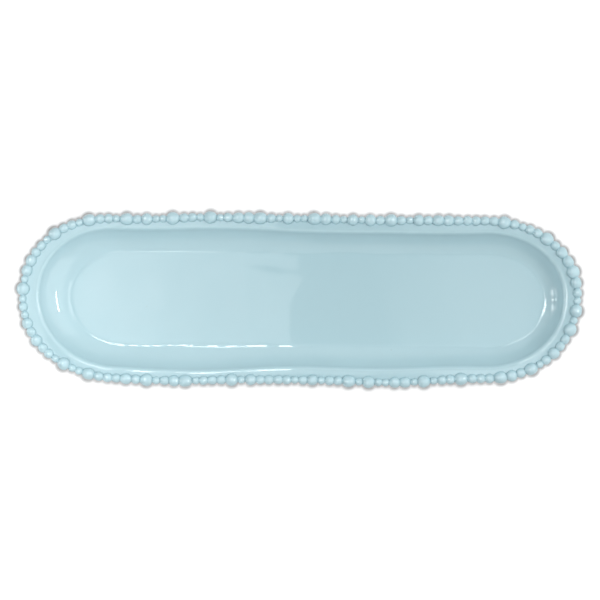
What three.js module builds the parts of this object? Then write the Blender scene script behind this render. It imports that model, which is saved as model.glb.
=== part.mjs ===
// Oval serving plate of glazed ceramic: a slab-formed dish on a foot ring, with a row of clay beads
// pressed over the edge of its rim.
// Millimetres, +Z up. The origin is on the table under the middle of the plate and +X runs along its length.
import * as THREE from "three";

// Plan of the rim's edge: straight sides with a half ellipse at each end
const RIM_LENGTH = 498;
const RIM_WIDTH = 145;
const END_LENGTH = 84;

// Dish section, from the rim's edge inwards and from the table upwards
const RIM_OVERHANG = 4.9; // how far the rim stands out past the outside of the wall
const RIM_THICKNESS = 5.5;
const WALL_THICKNESS = 5.5;
const WALL_RUN = 20.8; // width of the wall's curve, seen from above
const WALL_START = THREE.MathUtils.degToRad(15); // slope of the wall where it creases out of the floor
const WALL_END = THREE.MathUtils.degToRad(75); // and where it meets the lip
const LIP_RADIUS = 2;
const EDGE_RADIUS = 2; // under the rim's edge
const FLOOR_THICKNESS = 6;
const WELL_DEPTH = 22;
const FLOOR_SHIFT = 8; // the floor lies this much towards one end

// Foot ring under the floor
const FOOT_HEIGHT = 4;
const FOOT_INSET = 5; // from the edge of the floor
const FOOT_BREADTH = 8;
const FOOT_TAPER = 1.5; // how far each side leans in on the way down

// Slow waves left by the hand that shaped the clay: how many around the rim, how far, and where they start.
// They die away down the wall, so that the floor and the foot are even.
const RIM_WAVES = [
  { count: 3, swing: 0.7, start: -0.6 },
  { count: 5, swing: 0.8, start: -0.3 },
  { count: 6, swing: 0.5, start: 0.7 },
  { count: 8, swing: 0.5, start: -1.8 },
];
const WELL_WAVES = [{ count: 3, swing: 1.2, start: -1.57 }]; // what the well adds to the rim's

// What the rim's edge adds, where the beads were pressed over it
const EDGE_WAVES = [
  { count: 4, swing: 0.5, start: 2.1 },
  { count: 10, swing: 0.5, start: -2.3 },
];

// Beads, clockwise from the left tip: a large one begins each group
const LARGE_BEAD = 11.7;
const MEDIUM_BEAD = 9.9;
const SMALL_BEAD = 8.1;
const TINY_BEAD = 6.5;
const BEAD_WIDTHS = { L: LARGE_BEAD, M: MEDIUM_BEAD, s: SMALL_BEAD, t: TINY_BEAD };
const BEAD_ORDER = [
  "LtMMsst Lsst Lsst LsMtt Lsst LtsMM LstMtt LMstMtMs LstMsMMsssss Lstss LsMM LMst Lt LssMst",
  "LsM Lsss Lsst LtMMtt Lt LsstMstssssMt Lssst LMst LsMsss Ltt LtssMsMtst",
];
const ROW_START = 8.2; // from the left tip to the first bead's centre
const STRIP_COUNT = 46;
const PRESS = 0.94; // spacing of two pressed beads, as a share of their radii together
const STRIP_GAP = 0.3; // between the beads where two strips meet
const SEAT_GAP = 0.3; // between the beads and the rim that they sit over

// Fineness of the facets
const QUARTER_STEPS = 9;
const SIDE_STEPS = 24;
const WALL_STEPS = 5;
const ROUND_STEPS = 3;
const BEAD_BANDS = 4;
const BEAD_ARC_STEPS = 8;
const LINE_STEPS = 4000; // for measuring along the line of the beads

// Sizes that follow
const RIM_HALF = RIM_WIDTH / 2;
const END_REACH = END_LENGTH / RIM_HALF;
const STRAIGHT_HALF = RIM_LENGTH / 2 - END_LENGTH;
const WALL_OUTSIDE_HALF = RIM_HALF - RIM_OVERHANG;
const WELL_HALF = WALL_OUTSIDE_HALF - WALL_THICKNESS;
const FLOOR_HALF = WELL_HALF - WALL_RUN;
const FOOT_HALF = FLOOR_HALF - FOOT_INSET;
const FLOOR_TOP = FOOT_HEIGHT + FLOOR_THICKNESS;
const RIM_TOP = FLOOR_TOP + WELL_DEPTH;
const RIM_UNDERSIDE = RIM_TOP - RIM_THICKNESS;
const DISH_WAVES = [...RIM_WAVES, ...WELL_WAVES];
const ROW_WAVES = [...RIM_WAVES, ...EDGE_WAVES];
const OUTLINE_STEPS = 4 * QUARTER_STEPS + 2 * SIDE_STEPS;
const UP = new THREE.Vector3(0, 0, 1);

const { clamp, euclideanModulo, inverseLerp, lerp } = THREE.MathUtils;

// Point of an oval, at a share of the way round, clockwise from the left tip
function ovalPoint(share, halfWidth) {
  const side = share < 0.5 ? 1 : -1; // the second half is the first, turned half round
  const step = (share % 0.5) * OUTLINE_STEPS;
  const along = clamp((step - QUARTER_STEPS) / SIDE_STEPS, 0, 1);
  const firstBend = clamp(step / QUARTER_STEPS, 0, 1);
  const secondBend = clamp((step - QUARTER_STEPS - SIDE_STEPS) / QUARTER_STEPS, 0, 1);
  const bearing = (Math.PI / 2) * (firstBend + secondBend);
  const x = lerp(-STRAIGHT_HALF, STRAIGHT_HALF, along) - END_REACH * halfWidth * Math.cos(bearing);
  const y = halfWidth * Math.sin(bearing);
  return new THREE.Vector2(side * x, side * y);
}

// How far waves move the clay outwards at a share of the way round
function outward(waves, share) {
  const round = 2 * Math.PI * share;
  const swings = waves.map(({ count, swing, start }) => swing * Math.sin(count * round + start));
  return swings.reduce((total, swing) => total + swing, 0);
}

// Level ring of points, which takes its shift along the plate and as much of its waves as its sway says
function dishRing({ halfWidth, height, shift = 0, waves = [], sway = 1 }) {
  return Array.from({ length: OUTLINE_STEPS }, (_, step) => {
    const share = step / OUTLINE_STEPS;
    const { x, y } = ovalPoint(share, halfWidth + sway * outward(waves, share));
    return new THREE.Vector3(x + shift, y, height);
  });
}

// Skin over rings of points. A fan to a point closes each end, or else the last ring joins the first.
function skin(rings, startPoint, endPoint) {
  const size = rings[0].length;
  const points = rings.flat();
  const faces = [];
  const joined = startPoint ? rings.length - 1 : rings.length;
  for (let ring = 0; ring < joined; ring += 1) {
    const near = ring * size;
    const far = ((ring + 1) % rings.length) * size;
    for (let step = 0; step < size; step += 1) {
      const next = (step + 1) % size;
      faces.push(near + step, near + next, far + step);
      faces.push(near + next, far + next, far + step);
    }
  }
  if (startPoint) {
    const last = (rings.length - 1) * size;
    const start = points.push(startPoint) - 1;
    const end = points.push(endPoint) - 1;
    for (let step = 0; step < size; step += 1) {
      const next = (step + 1) % size;
      faces.push(start, next, step);
      faces.push(end, last + step, last + next);
    }
  }
  const geometry = new THREE.BufferGeometry().setFromPoints(points);
  geometry.setIndex(faces);
  geometry.computeVertexNormals();
  return geometry;
}

// Hollow curve of the wall from the floor up, steeper and steeper towards the rim
function wallCurve(topHalf, bottom, top) {
  return Array.from({ length: WALL_STEPS + 1 }, (_, step) => {
    const turn = lerp(WALL_START, WALL_END, step / WALL_STEPS);
    const reach = inverseLerp(Math.sin(WALL_START), Math.sin(WALL_END), Math.sin(turn));
    const rise = inverseLerp(Math.cos(WALL_START), Math.cos(WALL_END), Math.cos(turn));
    return {
      halfWidth: lerp(FLOOR_HALF, topHalf, reach),
      height: lerp(bottom, top, rise),
      shift: FLOOR_SHIFT * (1 - reach),
      waves: DISH_WAVES,
      sway: reach,
    };
  });
}

// Rounded lip between the wall and the flat of the rim, without the wall's own top ring
function lipCurve() {
  return Array.from({ length: ROUND_STEPS }, (_, step) => {
    const turn = (Math.PI / 2) * ((step + 1) / ROUND_STEPS);
    return {
      halfWidth: WELL_HALF + LIP_RADIUS * (1 - Math.cos(turn)),
      height: RIM_TOP - LIP_RADIUS * (1 - Math.sin(turn)),
      waves: DISH_WAVES,
    };
  });
}

// Rounded corner under the rim's edge, from the edge to the underside
function edgeCurve() {
  return Array.from({ length: ROUND_STEPS + 1 }, (_, step) => {
    const turn = (Math.PI / 2) * (step / ROUND_STEPS);
    return {
      halfWidth: RIM_HALF - EDGE_RADIUS * (1 - Math.cos(turn)),
      height: RIM_UNDERSIDE + EDGE_RADIUS * (1 - Math.sin(turn)),
      waves: ROW_WAVES,
    };
  });
}

// Dish: up the inside of the well, over the lip and rim, and down the outside to the flat underside
function dishGeometry() {
  const profile = [
    ...wallCurve(WELL_HALF, FLOOR_TOP, RIM_TOP - LIP_RADIUS),
    ...lipCurve(),
    { halfWidth: RIM_HALF, height: RIM_TOP, waves: ROW_WAVES },
    ...edgeCurve(),
    ...wallCurve(WALL_OUTSIDE_HALF, FOOT_HEIGHT, RIM_UNDERSIDE).reverse(),
  ];
  const floorMiddle = new THREE.Vector3(FLOOR_SHIFT, 0, FLOOR_TOP);
  const undersideMiddle = new THREE.Vector3(FLOOR_SHIFT, 0, FOOT_HEIGHT);
  return skin(profile.map(dishRing), floorMiddle, undersideMiddle);
}

// Foot ring: a coil with leaning sides, its flat top against the dish and its flat sole on the table
function footGeometry() {
  const section = [
    { halfWidth: FOOT_HALF, height: FOOT_HEIGHT },
    { halfWidth: FOOT_HALF - FOOT_TAPER, height: 0 },
    { halfWidth: FOOT_HALF - FOOT_BREADTH + FOOT_TAPER, height: 0 },
    { halfWidth: FOOT_HALF - FOOT_BREADTH, height: FOOT_HEIGHT },
  ];
  return skin(section.map((corner) => dishRing({ ...corner, shift: FLOOR_SHIFT })));
}

// Line of the beads' centres, along the upper edge of the rim
class BeadLine extends THREE.Curve {
  getPoint(share) {
    const { x, y } = ovalPoint(share % 1, RIM_HALF + SEAT_GAP + outward(ROW_WAVES, share));
    return new THREE.Vector3(x, y, RIM_TOP + SEAT_GAP);
  }
}

// Whole row of beads, each with its strip, its radius and the distance to the next bead's centre
function beadRow(beadCount) {
  const order = BEAD_ORDER.join("").replaceAll(" ", "");
  const beads = Array.from({ length: beadCount }, (_, index) => ({
    strip: Math.floor((index * STRIP_COUNT) / beadCount),
    radius: BEAD_WIDTHS[order[index % order.length]] / 2,
  }));
  return beads.map((bead, index) => {
    const next = beads[(index + 1) % beadCount];
    const radii = bead.radius + next.radius;
    return { ...bead, pitch: next.strip === bead.strip ? radii * PRESS : radii + STRIP_GAP };
  });
}

const rowLength = (beads) => beads.reduce((total, bead) => total + bead.pitch, 0);

// As many beads as the line holds, spread evenly over what is left of it
function placeBeads(lineLength) {
  let beadCount = STRIP_COUNT;
  while (rowLength(beadRow(beadCount + 1)) <= lineLength) beadCount += 1;
  const beads = beadRow(beadCount);
  const spread = lineLength / rowLength(beads);
  let place = ROW_START;
  return beads.map((bead) => {
    const placed = { ...bead, pitch: bead.pitch * spread, place };
    place += placed.pitch;
    return placed;
  });
}

// Angle, from the line of the beads, of the neck where a bead meets a neighbour of the same strip
function neckAngle(bead, neighbour, distance) {
  const reach = (distance ** 2 + bead.radius ** 2 - neighbour.radius ** 2) / (2 * distance);
  return Math.acos(reach / bead.radius);
}

// Slice of a bead: round outside, over the top and in, less the quarter that fits over the rim's edge
function beadRing(line, place, radius) {
  const share = euclideanModulo(place / line.getLength(), 1);
  const centre = line.getPointAt(share);
  const heading = line.getTangentAt(share);
  const across = new THREE.Vector3(-heading.y, heading.x, 0);
  const arc = Array.from({ length: BEAD_ARC_STEPS + 1 }, (_, step) => {
    const turn = ((3 * step) / BEAD_ARC_STEPS - 1) * (Math.PI / 2);
    return centre
      .clone()
      .addScaledVector(across, radius * Math.cos(turn))
      .addScaledVector(UP, radius * Math.sin(turn));
  });
  return [centre, ...arc];
}

// Strip of beads, pressed into one another and rounded off at both ends
function stripGeometry(line, beads) {
  const rings = [];
  beads.forEach((bead, index) => {
    const before = beads[index - 1];
    const after = beads[index + 1];
    const from = before ? neckAngle(bead, before, before.pitch) : 0;
    const to = Math.PI - (after ? neckAngle(bead, after, bead.pitch) : 0);
    const lastBand = after ? BEAD_BANDS : BEAD_BANDS - 1;
    for (let band = 1; band <= lastBand; band += 1) {
      const angle = lerp(from, to, band / BEAD_BANDS);
      const place = bead.place - bead.radius * Math.cos(angle);
      rings.push(beadRing(line, place, bead.radius * Math.sin(angle)));
    }
  });
  const first = beads[0];
  const last = beads[beads.length - 1];
  const [start] = beadRing(line, first.place - first.radius, 0);
  const [end] = beadRing(line, last.place + last.radius, 0);
  return skin(rings, start, end);
}

// Pale blue glaze over the dish
const dishGlaze = () => new THREE.MeshStandardMaterial({ color: "#b4d3db", roughness: 0.12, metalness: 0 });

// The same glaze on the beads, a little thicker in the hollows between them
const beadGlaze = () => new THREE.MeshStandardMaterial({ color: "#aecdd6", roughness: 0.1, metalness: 0 });

// Foot ring, thinly glazed and wiped on its sole
const footGlaze = () => new THREE.MeshStandardMaterial({ color: "#c9d6d4", roughness: 0.45, metalness: 0 });

function addPiece(group, name, geometry, material) {
  const piece = new THREE.Mesh(geometry, material);
  piece.name = name;
  group.add(piece);
}

const plate = new THREE.Group();
addPiece(plate, "dish_body", dishGeometry(), dishGlaze());
addPiece(plate, "foot_ring", footGeometry(), footGlaze());

const beadLine = new BeadLine();
beadLine.arcLengthDivisions = LINE_STEPS;
const placedBeads = placeBeads(beadLine.getLength());
for (let strip = 0; strip < STRIP_COUNT; strip += 1) {
  const beads = placedBeads.filter((bead) => bead.strip === strip);
  const name = `bead_strip_${String(strip + 1).padStart(2, "0")}`;
  addPiece(plate, name, stripGeometry(beadLine, beads), beadGlaze());
}

export default plate;
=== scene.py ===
"""Oval serving plate of pale blue glazed ceramic, with a row of round beads along its rim.

The plate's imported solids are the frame. The dish, the foot ring and the strips of beads are made
again as fine meshes in the places of their solids, with the soft edges that a glaze leaves, and are
dressed in procedural glazes under plain studio light. Lengths are in metres.
"""
import logging
import math
from collections.abc import Sequence
from dataclasses import dataclass, field, replace
from enum import Enum
from typing import ClassVar

import bpy
import numpy as np
from mathutils import Matrix, Vector


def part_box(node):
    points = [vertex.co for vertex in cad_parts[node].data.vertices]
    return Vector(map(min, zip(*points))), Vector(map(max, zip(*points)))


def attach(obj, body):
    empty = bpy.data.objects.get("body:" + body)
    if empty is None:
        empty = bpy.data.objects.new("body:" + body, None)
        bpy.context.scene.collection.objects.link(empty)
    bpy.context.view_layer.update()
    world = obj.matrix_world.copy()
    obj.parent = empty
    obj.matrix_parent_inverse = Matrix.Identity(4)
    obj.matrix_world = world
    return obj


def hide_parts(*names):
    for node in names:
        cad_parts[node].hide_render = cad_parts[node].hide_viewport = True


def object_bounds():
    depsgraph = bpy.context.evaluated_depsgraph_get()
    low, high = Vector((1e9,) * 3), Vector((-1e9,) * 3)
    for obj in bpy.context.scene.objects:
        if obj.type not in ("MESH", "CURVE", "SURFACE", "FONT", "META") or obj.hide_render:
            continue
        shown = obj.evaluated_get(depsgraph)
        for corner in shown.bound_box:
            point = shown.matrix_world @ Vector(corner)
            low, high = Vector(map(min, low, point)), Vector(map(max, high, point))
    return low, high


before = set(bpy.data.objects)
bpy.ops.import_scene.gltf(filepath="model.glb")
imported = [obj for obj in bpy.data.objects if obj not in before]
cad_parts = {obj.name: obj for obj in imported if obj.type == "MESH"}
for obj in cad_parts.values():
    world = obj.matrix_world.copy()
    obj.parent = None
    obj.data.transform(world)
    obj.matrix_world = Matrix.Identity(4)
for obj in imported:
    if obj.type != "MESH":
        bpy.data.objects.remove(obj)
CAD_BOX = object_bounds()

LOG = logging.getLogger("serving_plate")
MM = 0.001
BODY = "root"

Colour = tuple[float, float, float]
Point = tuple[float, float, float]
Inputs = dict[str | int, object]


class Mark(Enum):
    """Masks that the meshes carry from point to point for the glazes to read, with painted shade, painted
    light and the table's painted shadow among them.
    """

    POOL = "pool"
    THIN = "thin"
    SHADOW = "shadow"


class Slot(Enum):
    """Material slots of the plate's record."""

    DISH = "glaze"
    FOOT = "foot"
    BEAD = "bead_glaze"


def lerp(start: float, end: float, share: np.ndarray | float) -> np.ndarray | float:
    """Goes a share of the way from start to end."""
    return start + (end - start) * share


def smooth_max(first: np.ndarray, second: np.ndarray | float, blend: float) -> np.ndarray:
    """Takes the larger of two values, rounded off where they are nearer to each other than the blend."""
    near = np.maximum(blend - np.abs(first - second), 0.0) / blend
    return np.maximum(first, second) + near**2 * blend / 4


def bell(distance: np.ndarray | float, breadth: float) -> np.ndarray | float:
    """Gives a soft bump that is 1 at no distance and fades out over about twice its breadth."""
    return np.exp(-((distance / breadth) ** 2))


def rounding(half_width: float, height: float, radius: float, tilt: float) -> tuple[float, float]:
    """Finds a point of a round edge, which is upright at the half width and level at the height."""
    return half_width + radius * (1 - math.cos(tilt)), height - radius * (1 - math.sin(tilt))


@dataclass(frozen=True)
class Wave:
    """Slow wave around the plate that the hand left in the clay.

    Attributes:
        count: How many of it go round.
        swing: How far it moves the clay outwards.
        start: Its phase at the left tip, in radians.
    """

    count: int
    swing: float
    start: float


RIM_WAVES = (
    Wave(3, 0.7 * MM, -0.6),
    Wave(5, 0.8 * MM, -0.3),
    Wave(6, 0.5 * MM, 0.7),
    Wave(8, 0.5 * MM, -1.8),
)
WELL_WAVES = (Wave(3, 1.2 * MM, -1.57),)
EDGE_WAVES = (Wave(4, 0.5 * MM, 2.1), Wave(10, 0.5 * MM, -2.3))


def outward(waves: Sequence[Wave], share: np.ndarray) -> np.ndarray:
    """Adds up how far waves move the clay outwards.

    Args:
        waves: The waves.
        share: Places, as shares of the way round from the left tip.

    Returns:
        The move at each place.
    """
    total = np.zeros_like(share)
    for wave in waves:
        total += wave.swing * np.sin(wave.count * 2 * math.pi * share + wave.start)
    return total


@dataclass(frozen=True)
class OvalPlan:
    """Plan of the plate: straight sides with a half ellipse at each end.

    Attributes:
        rim_half: Half the width over the rim's edge.
        straight_half: Half the length of the straight sides.
        end_length: Length of each rounded end at the rim's edge.
        quarter_steps: Steps that a quarter of an end takes of the way round.
        side_steps: Steps that a straight side takes.
    """

    rim_half: float = 72.5 * MM
    straight_half: float = 165 * MM
    end_length: float = 84 * MM
    quarter_steps: int = 9
    side_steps: int = 24

    def place(self, share: np.ndarray, half_width: np.ndarray) -> tuple[np.ndarray, np.ndarray]:
        """Finds points of an oval, clockwise from the left tip.

        Args:
            share: How far round each point is, from 0 to 1.
            half_width: Half the width of the oval at each point.

        Returns:
            The points' x and y.
        """
        side = np.where(share < 0.5, 1.0, -1.0)
        step = (share % 0.5) * (4 * self.quarter_steps + 2 * self.side_steps)
        along = np.clip((step - self.quarter_steps) / self.side_steps, 0, 1)
        first_bend = np.clip(step / self.quarter_steps, 0, 1)
        second_bend = np.clip((step - self.quarter_steps - self.side_steps) / self.quarter_steps, 0, 1)
        bearing = (math.pi / 2) * (first_bend + second_bend)
        reach = self.end_length / self.rim_half * half_width
        x = lerp(-self.straight_half, self.straight_half, along) - reach * np.cos(bearing)
        return side * x, side * half_width * np.sin(bearing)


def new_piece(name: str, points: np.ndarray, faces: list[tuple[int, ...]]) -> bpy.types.Object:
    """Makes a smooth mesh object.

    Args:
        name: Name of the piece.
        points: Its points, one in each row.
        faces: Its faces, as numbers of points.

    Returns:
        The new object.
    """
    mesh = bpy.data.meshes.new(name)
    mesh.from_pydata(points.tolist(), [], faces)
    mesh.polygons.foreach_set("use_smooth", np.ones(len(faces), dtype=bool))
    mesh.update()
    piece = bpy.data.objects.new(name, mesh)
    bpy.context.scene.collection.objects.link(piece)
    return piece


def set_mark(piece: bpy.types.Object, mark: Mark, values: np.ndarray) -> None:
    """Writes a mask on a piece, from 0 to 1 at each point."""
    layer = piece.data.attributes.new(mark.value, "FLOAT", "POINT")
    layer.data.foreach_set("value", np.clip(values, 0, 1).astype(np.float32).ravel())


def band_faces(rings: int, size: int, closed: bool = False) -> list[tuple[int, ...]]:
    """Joins each ring of points to the next with four-sided faces.

    Args:
        rings: How many rings there are.
        size: Points in each ring.
        closed: Whether the last ring joins the first.

    Returns:
        The faces.
    """
    faces = []
    for ring in range(rings if closed else rings - 1):
        near = ring * size
        far = ((ring + 1) % rings) * size
        for step in range(size):
            after = (step + 1) % size
            faces.append((near + step, near + after, far + after, far + step))
    return faces


def bridge_faces(first: int, size: int, downward: bool) -> list[tuple[int, ...]]:
    """Fills a long ring straight across, from each point to the one facing it.

    Args:
        first: Number of the ring's first point, at its left tip.
        size: Points in the ring.
        downward: Whether the filled face looks down.

    Returns:
        The faces.
    """
    faces = []
    for step in range(size // 2):
        corners = [step + 1, step, (size - step) % size, size - step - 1]
        face = [first + corner for corner in dict.fromkeys(corners)]
        faces.append(tuple(reversed(face)) if downward else tuple(face))
    return faces


class Glazed:
    """Sub-assembly whose pieces are dressed in one glaze.

    Attributes:
        slot: Slot of the record that the glaze stands for.
    """

    slot: ClassVar[Slot]

    def dress(self, piece: bpy.types.Object, material: bpy.types.Material) -> None:
        """Gives a piece its glaze and puts it on the plate's body.

        Args:
            piece: The piece.
            material: The glaze.
        """
        piece.data.materials.append(material)
        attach(piece, BODY)
        LOG.info("%s: %d faces, %s", piece.name, len(piece.data.polygons), self.slot.value)


@dataclass(frozen=True)
class HandMarks:
    """Shallow hollows and swellings that pressing by hand leaves in the clay.

    Attributes:
        seed: Seed of the marks.
        count: How many waves cross each other.
        shortest: Shortest distance from swelling to swelling.
        longest: Longest such distance.
        depth: Depth of each wave.
    """

    seed: int
    count: int
    shortest: float
    longest: float
    depth: float

    def heights(self, x: np.ndarray, y: np.ndarray) -> np.ndarray:
        """Adds the marks up.

        Args:
            x: Places along the plate.
            y: Places across it.

        Returns:
            The height of the marks at each place.
        """
        draw = np.random.default_rng(self.seed)
        total = np.zeros_like(x)
        for _ in range(self.count):
            length = draw.uniform(self.shortest, self.longest)
            bearing = draw.uniform(0, math.pi)
            start = draw.uniform(0, 2 * math.pi)
            across = x * math.cos(bearing) + y * math.sin(bearing)
            total += self.depth * np.sin(2 * math.pi * across / length + start)
        return total


@dataclass(frozen=True)
class EdgeWander:
    """Small unevenness of a line that is drawn round the plate by hand.

    Attributes:
        seed: Seed of the line.
        fewest: Fewest bends around the plate.
        most: Most bends around it.
        count: How many waves add up.
        swing: How far each moves the line.
    """

    seed: int
    fewest: int
    most: int
    count: int
    swing: float

    def offsets(self, share: np.ndarray) -> np.ndarray:
        """Finds how far the line wanders outwards.

        Args:
            share: Places round the plate.

        Returns:
            The move at each place.
        """
        draw = np.random.default_rng(self.seed)
        bends = draw.integers(self.fewest, self.most, size=self.count)
        starts = draw.uniform(0, 2 * math.pi, size=self.count)
        waves = [Wave(int(bend), self.swing, start) for bend, start in zip(bends, starts)]
        return outward(waves, share)


@dataclass(frozen=True)
class Ring:
    """Level ring of a dish.

    Attributes:
        half_width: Half its width.
        height: Its height over the table.
        shift: How much of the floor's shift along the plate it takes, from 0 to 1.
        rim_waves: How much of the rim's waves it takes.
        well_waves: How much of the well's waves it takes.
        edge_waves: How much of the waves under the beads it takes.
        wander: How much of the crease's wander it takes.
        dents: How much of the crease's dents it takes.
        marks: How much of the hand marks it takes.
        pool: How thick the glaze gathers there, and how much shade is painted there.
        thin: How far the glaze runs thinner there, and how much light is painted there.
    """

    half_width: float
    height: float
    shift: float = 0.0
    rim_waves: float = 0.0
    well_waves: float = 0.0
    edge_waves: float = 0.0
    wander: float = 0.0
    dents: float = 0.0
    marks: float = 0.0
    pool: float = 0.0
    thin: float = 0.0


@dataclass
class Dish(Glazed):
    """The slab of the dish: floor, hollow wall, lip, narrow flat rim and the outside.

    Attributes:
        plan: Plan of the plate.
        rim_overhang: How far the rim stands out past the outside of the wall.
        rim_thickness, wall_thickness: Thickness of the rim, and of the wall at its top.
        wall_run: Width of the wall's curve, seen from above.
        wall_start, wall_end: Slopes of the wall where it leaves the floor and under the lip.
        lip_radius: Rounding of the lip.
        thin_and_lit_tilt, thin_and_lit_spread: Where round the lip the glaze runs thinnest and a paler band
            is painted, and how far round.
        rim_slope: Slope of the rim where it leaves the lip, which levels out under the beads.
        edge_radius: Rounding under the rim's edge.
        cove_radius: Hollow rounding between the rim's underside and the wall.
        floor_shift: How far the floor lies towards one end.
        floor_thickness: Thickness of the floor.
        floor_swell, swell_run: Height and width of the floor's rise before the crease.
        crease_blend: Softness of the crease.
        pool_and_shade_run: How far past the crease the wall keeps the floor's darker colour of thick glaze
            and painted shade.
        wall_pool_and_shade: How much of that darker colour the wall has above it, as a share of the floor's,
            which paints the wall paler than the floor.
        cove_pool_and_shade: How much of it the cove under the rim has.
        outside_marks: How much of the hand marks the outside takes.
        wander_run, dent_run: How far from the crease its wander and its dents are felt.
        close_top, close_under: How far inside the floor's edge the close rings begin, above and below.
        close_step: Spacing of the close rings.
        wide_gap: Gap between them and the wide rings of the floor.
        middle_half: Half the width of the innermost rings.
        floor_steps, wall_steps, lip_steps, rim_steps: Rings over each part.
        edge_steps: Rings round the rim's edge, round the cove and over the underside.
        steps_round: Points in each ring.
        crease_wander, crease_dents: Slow unevenness of the crease's line, and fine of its height.
        floor_marks: Hand marks of the floor and the wall.
        rim_top, underside: Heights of the rim and of the floor's underside, from the solid.
    """

    slot: ClassVar[Slot] = Slot.DISH

    plan: OvalPlan
    rim_overhang: float = 4.9 * MM
    rim_thickness: float = 5.5 * MM
    wall_thickness: float = 7.3 * MM
    wall_run: float = 19.0 * MM
    wall_start: float = math.radians(15)
    wall_end: float = math.radians(68)
    lip_radius: float = 4.6 * MM
    thin_and_lit_tilt: float = math.radians(62)
    thin_and_lit_spread: float = math.radians(12)
    rim_slope: float = math.radians(5.5)
    edge_radius: float = 2 * MM
    cove_radius: float = 1.5 * MM
    floor_shift: float = 8 * MM
    floor_thickness: float = 6 * MM
    floor_swell: float = 0.2 * MM
    swell_run: float = 13 * MM
    crease_blend: float = 0.5 * MM
    pool_and_shade_run: float = 1.5 * MM
    wall_pool_and_shade: float = 0.38
    cove_pool_and_shade: float = 0.7
    outside_marks: float = 0.6
    wander_run: float = 7 * MM
    dent_run: float = 2.2 * MM
    close_top: float = 6 * MM
    close_under: float = 5 * MM
    close_step: float = 0.4 * MM
    wide_gap: float = 1 * MM
    middle_half: float = 0.5 * MM
    floor_steps: int = 12
    wall_steps: int = 44
    lip_steps: int = 12
    rim_steps: int = 8
    edge_steps: int = 7
    steps_round: int = 1008
    crease_wander: EdgeWander = EdgeWander(seed=4, fewest=5, most=20, count=6, swing=0.24 * MM)
    crease_dents: EdgeWander = EdgeWander(seed=11, fewest=30, most=80, count=9, swing=0.011 * MM)
    floor_marks: HandMarks = HandMarks(seed=21, count=14, shortest=26 * MM, longest=95 * MM, depth=0.011 * MM)
    rim_top: float = field(init=False)
    underside: float = field(init=False)

    def __post_init__(self) -> None:
        """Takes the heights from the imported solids."""
        low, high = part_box("dish_body")
        self.underside = low.z
        self.rim_top = high.z

    @property
    def wall_outside_half(self) -> float:
        """Half the width over the outside of the wall."""
        return self.plan.rim_half - self.rim_overhang

    @property
    def well_half(self) -> float:
        """Half the width of the well at its top."""
        return self.wall_outside_half - self.wall_thickness

    @property
    def floor_half(self) -> float:
        """Half the width of the floor."""
        return self.well_half - self.wall_run

    @property
    def floor_top(self) -> float:
        """Height of the floor."""
        return self.underside + self.floor_thickness

    @property
    def lip_end(self) -> float:
        """Half the width where the rim leaves the lip."""
        return self.well_half + self.lip_radius * (1 - math.sin(self.rim_slope))

    @property
    def lip_top(self) -> float:
        """Height of the top of the lip's round, which the rim leaves before it gets there."""
        climb = math.tan(self.rim_slope) * (self.plan.rim_half - self.lip_end) * 3 / 4
        return self.rim_top - climb + self.lip_radius * (1 - math.cos(self.rim_slope))

    @property
    def rim_underside(self) -> float:
        """Height of the rim's underside."""
        return self.rim_top - self.rim_thickness

    def wall_heights(self, half_width: np.ndarray, top_half: float, bottom: float, top: float) -> np.ndarray:
        """Follows the hollow curve of the wall.

        Args:
            half_width: Where to find it.
            top_half: Half the width at the top of the curve.
            bottom: Height of its lower end.
            top: Height of its upper end.

        Returns:
            The heights, which go on below the lower end for places inside the floor's edge.
        """
        reach = (half_width - self.floor_half) / (top_half - self.floor_half)
        slope = np.arcsin(np.clip(lerp(math.sin(self.wall_start), math.sin(self.wall_end), reach), 0, 1))
        level = math.cos(self.wall_start)
        rise = (level - np.cos(slope)) / (level - math.cos(self.wall_end))
        return lerp(bottom, top, rise)

    def wall_widths(self, top_half: float, inside: float) -> np.ndarray:
        """Spaces rings over the floor's edge and the wall, closest at the crease and where it is steep.

        Args:
            top_half: Half the width at the top of the curve.
            inside: How far inside the floor's edge to begin.

        Returns:
            Half widths of the rings.
        """
        close = np.arange(self.floor_half - inside, self.floor_half + inside, self.close_step)
        steepness = np.sin(np.linspace(self.wall_start, self.wall_end, self.wall_steps))
        reach = (steepness - steepness[0]) / (steepness[-1] - steepness[0])
        wall = lerp(self.floor_half, top_half, reach)
        return np.concatenate([close, wall[wall > close[-1] + self.close_step / 2]])

    def floor_heights(self, half_width: np.ndarray) -> np.ndarray:
        """Finds the height of the floor, which swells a little towards its edge."""
        near_edge = np.clip(1 - (self.floor_half - half_width) / self.swell_run, 0, 1)
        return self.floor_top + self.floor_swell * near_edge**2

    def inner_rings(self) -> list[Ring]:
        """Goes from the middle of the floor over the crease and up the wall to the lip.

        Returns:
            The rings.
        """
        widest = self.floor_half - self.close_top - self.wide_gap
        wide = np.linspace(self.middle_half, widest, self.floor_steps)
        rings = [
            Ring(width, height, shift=1.0, marks=1.0, pool=1.0)
            for width, height in zip(wide, self.floor_heights(wide))
        ]
        top_half, top = rounding(self.well_half, self.lip_top, self.lip_radius, math.pi / 2 - self.wall_end)
        widths = self.wall_widths(top_half, self.close_top)
        wall = self.wall_heights(widths, top_half, self.floor_top, top)
        heights = smooth_max(wall, self.floor_heights(widths), self.crease_blend)
        for width, height in zip(widths, heights):
            past = width - self.floor_half
            up = max(0.0, past / (top_half - self.floor_half))
            # Painted shade: the floor and the foot of the wall keep the darker colour, as thick glaze does,
            # and the wall above is painted paler.
            pool = lerp(self.wall_pool_and_shade * (1 - up**2), 1.0, bell(max(0.0, past), self.pool_and_shade_run))
            wander, dents = bell(past, self.wander_run), bell(past, self.dent_run)
            rings.append(Ring(width, height, 1 - up, up, up, 0.0, wander, dents, 1 - up**4, pool))
        return rings

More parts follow.
